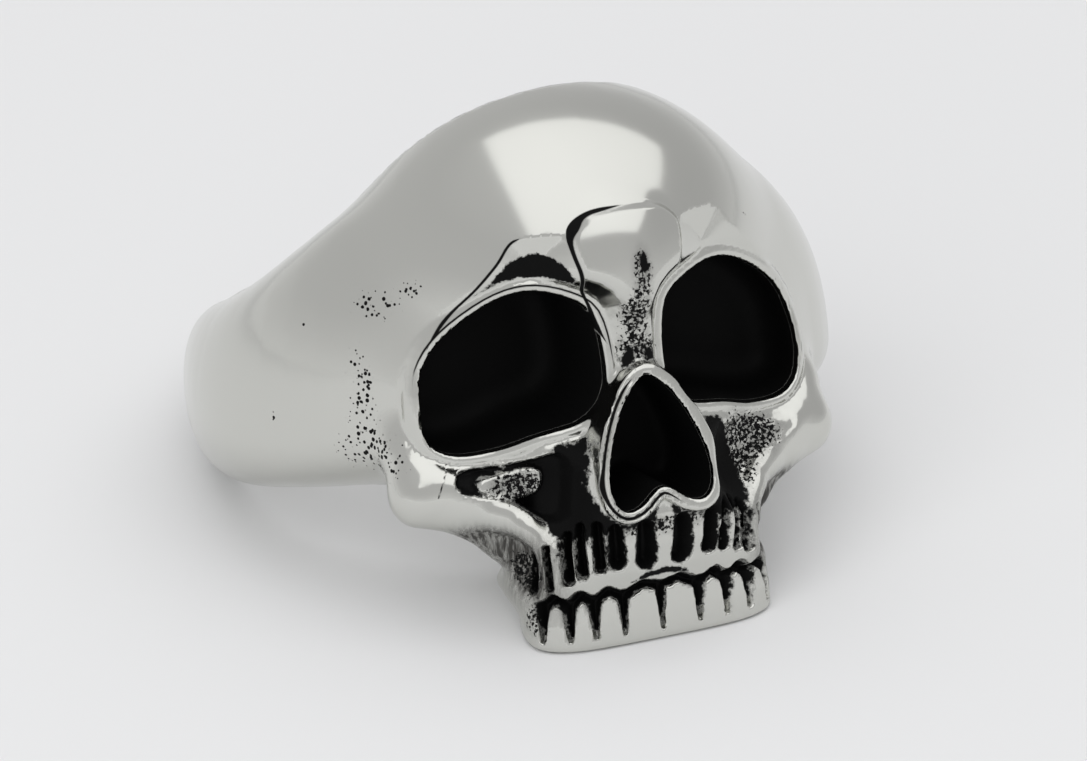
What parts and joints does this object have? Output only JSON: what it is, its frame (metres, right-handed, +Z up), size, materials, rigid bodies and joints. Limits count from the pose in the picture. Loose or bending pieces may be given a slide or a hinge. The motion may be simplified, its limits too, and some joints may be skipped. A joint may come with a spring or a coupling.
{
  "type": "skull ring",
  "caption": "Heavy cast finger ring whose band swells into a skull without a lower jaw, polished with blackened recesses.",
  "frame": {"origin": "middle of the box's base, on the surface the ring lies on", "axes": "+Z up, the face looks towards -Y and slightly up, +X to the viewer's right"},
  "size_m": [0.0266, 0.0308, 0.0191],
  "materials": {
    "metal": "polished, recesses blackened"
  },
  "bodies": {
    "root": {"skull_ring": "metal"}
  },
  "joints": []
}
